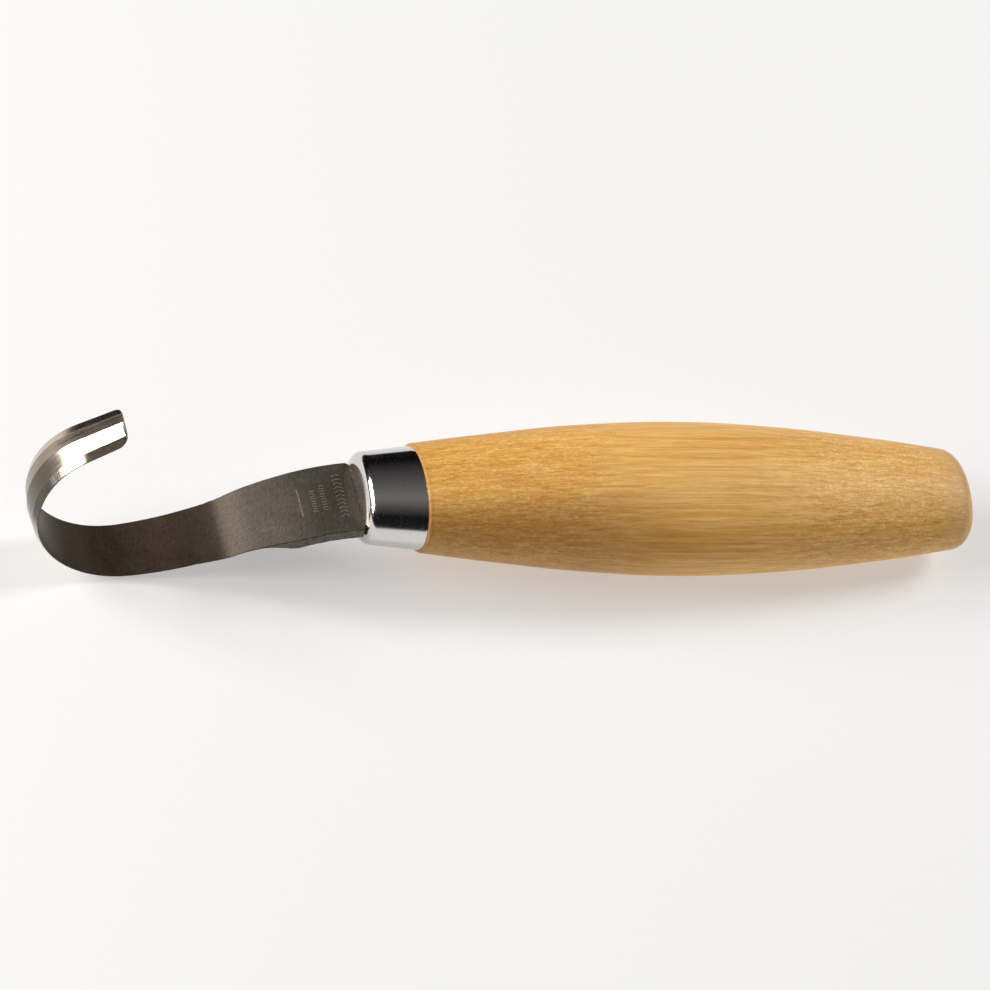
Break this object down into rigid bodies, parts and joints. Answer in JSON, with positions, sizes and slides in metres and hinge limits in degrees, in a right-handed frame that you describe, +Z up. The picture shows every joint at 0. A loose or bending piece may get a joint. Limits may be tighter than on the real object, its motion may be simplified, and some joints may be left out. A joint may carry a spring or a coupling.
{
  "type": "hook knife",
  "caption": "Woodcarving hook knife: an oval barrel handle, a drawn metal ferrule and a steel strip bent into an open hook, ground along both edges.",
  "frame": {"origin": "centre of the footprint, on the surface that the knife lies on", "axes": "+X towards the butt of the handle, +Y across the blade strip, +Z up: the knife lies on its hook's bottom and its handle's belly, with the hook curling upwards"},
  "size_m": [0.164, 0.0286, 0.0333],
  "materials": {
    "blade_steel": "satin strip with ground bevels",
    "ferrule_plate": "polished plate",
    "oiled_birch": "oiled, satin",
    "cured_adhesive": "cured, tan, slightly glossy"
  },
  "bodies": {
    "root": {"hook_blade": "blade_steel", "ferrule": "ferrule_plate", "handle": "oiled_birch", "tang_adhesive": "cured_adhesive"}
  },
  "joints": []
}
